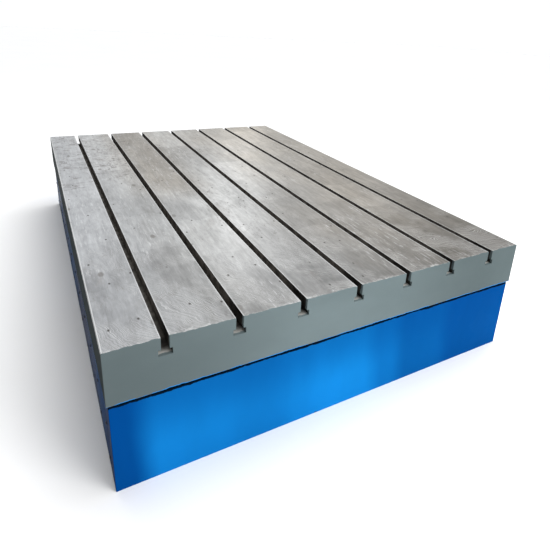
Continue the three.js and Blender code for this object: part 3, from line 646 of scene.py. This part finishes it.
PANEL_FLOOR_DEPTH = 0.024  # the recess behind the rear wall's face
PORT_HEIGHT = 0.138
PORT_INSIDE = -0.014
PORT_FLANGE = 0.005
PORT_END = 0.016


def threads(radius, start, end, pitch=0.0016, depth=0.0007):
    """Rings of a shallow saw-tooth thread between two heights."""
    count = round((end - start) / pitch)
    rings = []
    for index in range(count):
        level = start + index * pitch
        rings += [(radius - depth, level), (radius, level + pitch / 2)]
    return rings


def connector_rings(flange, bore):
    """A round plug connector: flange, threaded shell, and a blind bore for the contacts."""
    shell = flange - 0.004
    return [
        (shell, PORT_INSIDE), (shell, 0.0),
        (flange, 0.0), (flange, PORT_FLANGE - 0.001), (flange - 0.001, PORT_FLANGE),
        (shell, PORT_FLANGE),
        *threads(shell, PORT_FLANGE + 0.001, PORT_END - 0.001),
        (shell - 0.001, PORT_END), (bore, PORT_END), (bore, 0.004),
    ]


def hose_rings(flange, bore):
    """A hose union: hexagon body, threaded nose, and a coned bore."""
    nose = flange - 0.004
    flats = flange * math.cos(math.pi / 6) - 0.0002
    return [
        (nose, PORT_INSIDE), (nose, 0.0),
        (flats, 0.0, "hexagon"), (flats, 0.0075, "hexagon"), (flats - 0.001, 0.0085),
        (nose, 0.0085),
        *threads(nose, 0.0090, PORT_END - 0.001, 0.0014),
        (nose - 0.001, PORT_END), (bore + 0.002, PORT_END), (bore, PORT_END - 0.004), (bore, 0.003),
    ]


def rear_ports():
    """The two connectors, with their contacts, and the two hose unions in the service panel."""
    floor_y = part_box("service_panel")[1][1] - PANEL_FLOOR_DEPTH
    outward = (0, 1, 0)
    for name, rings, flange, bore, contacts in (
        ("power_connector", connector_rings, 0.024, 0.017, 6),
        ("encoder_connector", connector_rings, 0.016, 0.011, 8),
        ("clamp_pressure_port", hose_rings, 0.015, 0.007, 0),
        ("clamp_return_port", hose_rings, 0.015, 0.007, 0),
    ):
        low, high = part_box(name)
        place = ((low[0] + high[0]) / 2, floor_y, PORT_HEIGHT)
        mesh = bmesh.new()
        add_turned(mesh, place, outward, rings(flange, bore))
        slot_name = "zinc_steel" if contacts else "fitting_brass"
        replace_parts(piece_from(mesh, f"{name}_turned", slot_name), name)
        if not contacts:
            continue
        insert = bmesh.new()
        add_turned(insert, (place[0], floor_y + 0.0042, place[2]), outward,
                   [(bore - 0.0006, 0.0), (bore - 0.0006, 0.0035), (bore - 0.0012, 0.0040)])
        piece_from(insert, f"{name}_insert", "plug_plastic")
        pins = bmesh.new()
        for index in range(contacts):
            angle = 2 * math.pi * index / contacts
            pin = (place[0] + 0.58 * bore * math.cos(angle), floor_y + 0.0083,
                   place[2] + 0.58 * bore * math.sin(angle))
            add_turned(pins, pin, outward, [(0.0012, 0.0), (0.0012, 0.0045), (0.0006, 0.0052)])
        piece_from(pins, f"{name}_contacts", "fitting_brass")


def lifting_plugs():
    """Round screwed plugs with a hexagon socket, in place of the CAD's plain ones."""
    for name, side in (("left", -1), ("right", 1)):
        for end in ("front", "rear"):
            node = f"lifting_plug_{name}_{end}"
            low, high = (Vector(corner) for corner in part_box(node))
            face = (low if side < 0 else high).x
            middle = (low + high) / 2
            mesh = bmesh.new()
            add_turned(mesh, (face, middle.y, middle.z), (side, 0, 0), [
                (0.0175, -0.0155), (0.0180, -0.0145), (0.0180, -0.0016), (0.0165, 0.0),
                (0.0100, 0.0), (0.0078, -0.0012, "hexagon"), (0.0078, -0.0095, "hexagon"),
            ])
            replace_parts(piece_from(mesh, f"{node}_turned", "plug_plastic"), node)


# ---------------------------------------------------------------- floor, light and camera


FLOOR_HALF = 40.0
ROOM_STRENGTH = 1.02  # of the evenly white room that the camera sees


def floor():
    """A wide, pale, plain floor."""
    data = bpy.data.meshes.new("floor")
    corners = [(x * FLOOR_HALF, y * FLOOR_HALF, 0) for x, y in ((-1, -1), (1, -1), (1, 1), (-1, 1))]
    data.from_pydata(corners, [], [(0, 1, 2, 3)])
    plane = bpy.data.objects.new("floor", data)
    bpy.context.scene.collection.objects.link(plane)
    shader = Shader("pale_floor")
    tone = shader.ramp(shader.noise(0.8, 4.0), 0.3, 0.7, 0.98, 1.0)
    data.materials.append(shader.finish(shader.scaled((0.95, 0.95, 0.95), tone), 0.65))


def area_light(name, place, target, size, power):
    data = bpy.data.lights.new(name, "AREA")
    data.shape = "RECTANGLE"
    data.size, data.size_y = size
    data.energy = power
    lamp = bpy.data.objects.new(name, data)
    lamp.location = place
    lamp.rotation_euler = (Vector(target) - Vector(place)).to_track_quat("-Z", "Y").to_euler()
    bpy.context.scene.collection.objects.link(lamp)


def studio_light():
    """A soft room, dimmer on the left and brightest overhead, with a key light and an overhead one."""
    world = bpy.data.worlds.new("studio")
    bpy.context.scene.world = world
    world.use_nodes = True
    nodes, links = world.node_tree.nodes, world.node_tree.links
    axes = nodes.new("ShaderNodeSeparateXYZ")
    links.new(nodes.new("ShaderNodeTexCoord").outputs["Generated"], axes.inputs[0])
    strength = nodes.new("ShaderNodeMath")
    strength.operation = "MULTIPLY"
    for socket, axis, numbers in (
        (strength.inputs[0], "X", (-0.60, 0.0, 0.06, 1.02)),
        (strength.inputs[1], "Z", (0.20, 1.0, 1.0, 1.75)),
    ):
        ramp = nodes.new("ShaderNodeMapRange")
        ramp.interpolation_type = "SMOOTHSTEP"
        for setting, number in zip(ramp.inputs[1:5], numbers):
            setting.default_value = number
        links.new(axes.outputs[axis], ramp.inputs["Value"])
        links.new(ramp.outputs[0], socket)
    seen = nodes.new("ShaderNodeMix")
    links.new(nodes.new("ShaderNodeLightPath").outputs["Is Camera Ray"], seen.inputs["Factor"])
    links.new(strength.outputs[0], seen.inputs["A"])
    seen.inputs["B"].default_value = ROOM_STRENGTH
    background = nodes["Background"]
    links.new(seen.outputs["Result"], background.inputs["Strength"])
    background.inputs["Color"].default_value = (0.985, 0.992, 1.0, 1.0)

    area_light("key", (1.6, -4.2, 2.6), (0.1, -0.9, 0.25), (2.2, 2.2), 110)
    area_light("overhead", (1.4, 0.4, 3.6), (0.3, 0.0, 0.4), (3.0, 3.6), 70)


def camera():
    """Looks down at the front left corner, with the picture's middle shifted off the lens's axis."""
    azimuth, elevation, roll = (math.radians(a) for a in (CAMERA_AZIMUTH, CAMERA_ELEVATION, CAMERA_ROLL))
    ahead = Vector((math.sin(azimuth) * math.cos(elevation), math.cos(azimuth) * math.cos(elevation),
                    -math.sin(elevation)))
    level = Vector((math.cos(azimuth), -math.sin(azimuth), 0))
    upward = level.cross(ahead)
    right = math.cos(roll) * level + math.sin(roll) * upward
    up = math.cos(roll) * upward - math.sin(roll) * level
    data = bpy.data.cameras.new("camera")
    data.sensor_width = 36.0
    data.lens = CAMERA_LENS
    data.shift_x, data.shift_y = CAMERA_SHIFT
    rig = bpy.data.objects.new("camera", data)
    rig.matrix_world = Matrix.Translation(CAMERA_PLACE) @ Matrix((right, up, -ahead)).transposed().to_4x4()
    bpy.context.scene.collection.objects.link(rig)
    bpy.context.scene.camera = rig


bpy.context.scene.view_settings.view_transform = "Standard"
camera()
studio_light()
floor()
paint_nodes()
soften_edges()
side_cover_screws()
rear_screws()
rear_ports()
lifting_plugs()
